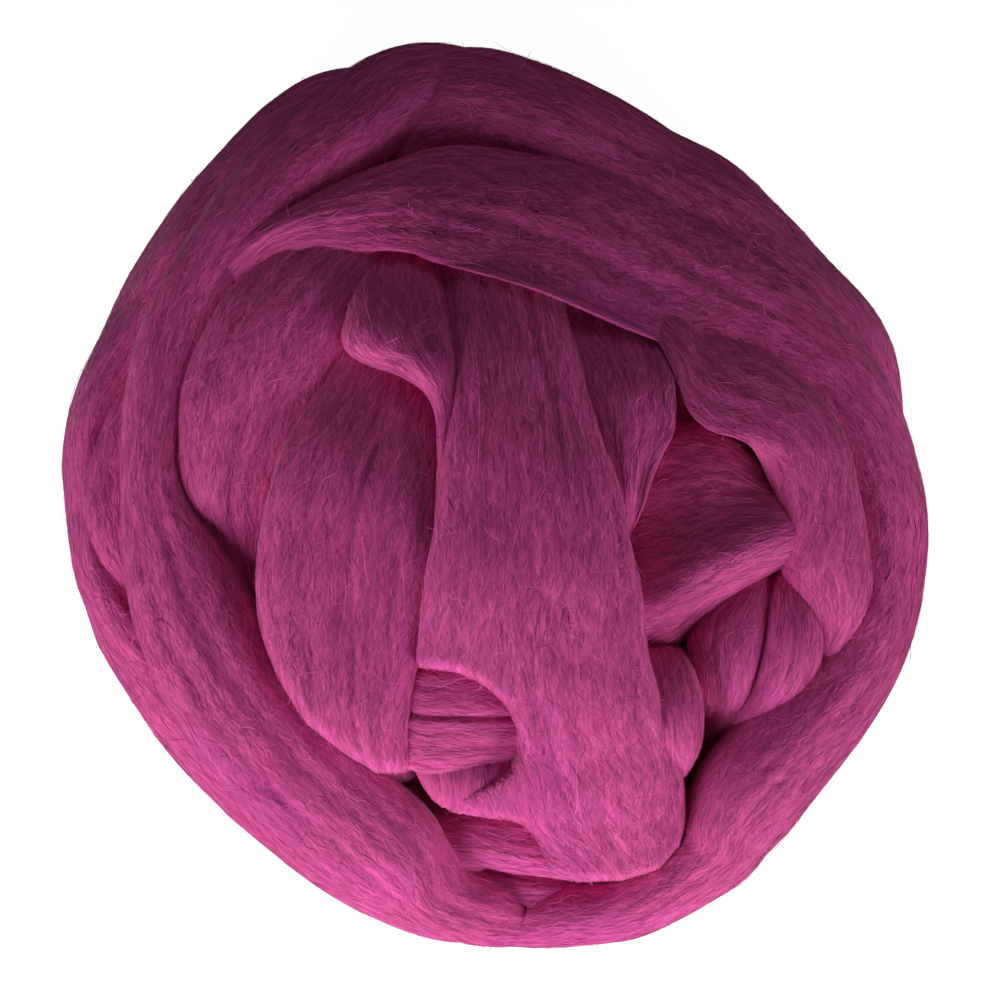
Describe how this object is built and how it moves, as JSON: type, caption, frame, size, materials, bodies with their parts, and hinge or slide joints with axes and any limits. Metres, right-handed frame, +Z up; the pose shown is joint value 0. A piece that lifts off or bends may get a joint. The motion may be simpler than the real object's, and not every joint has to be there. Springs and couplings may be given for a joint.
{
  "type": "ball of thick wool yarn",
  "caption": "Loosely hand-wound, flattened ball of very thick unspun wool, its broad soft turns crossing over each other on top, resting on a small flat spot.",
  "frame": {"origin": "middle of the ball's footprint, on the surface it lies on", "axes": "+Z up, through the thin direction of the flattened ball; +Y along its longer side, from the low front where the broad middle turn dives in, towards the back"},
  "size_m": [0.241, 0.2532, 0.0892],
  "materials": {
    "wool": "matte, soft combed fibres with a faint sheen"
  },
  "bodies": {
    "root": {"wound_wool": "wool"}
  },
  "joints": []
}
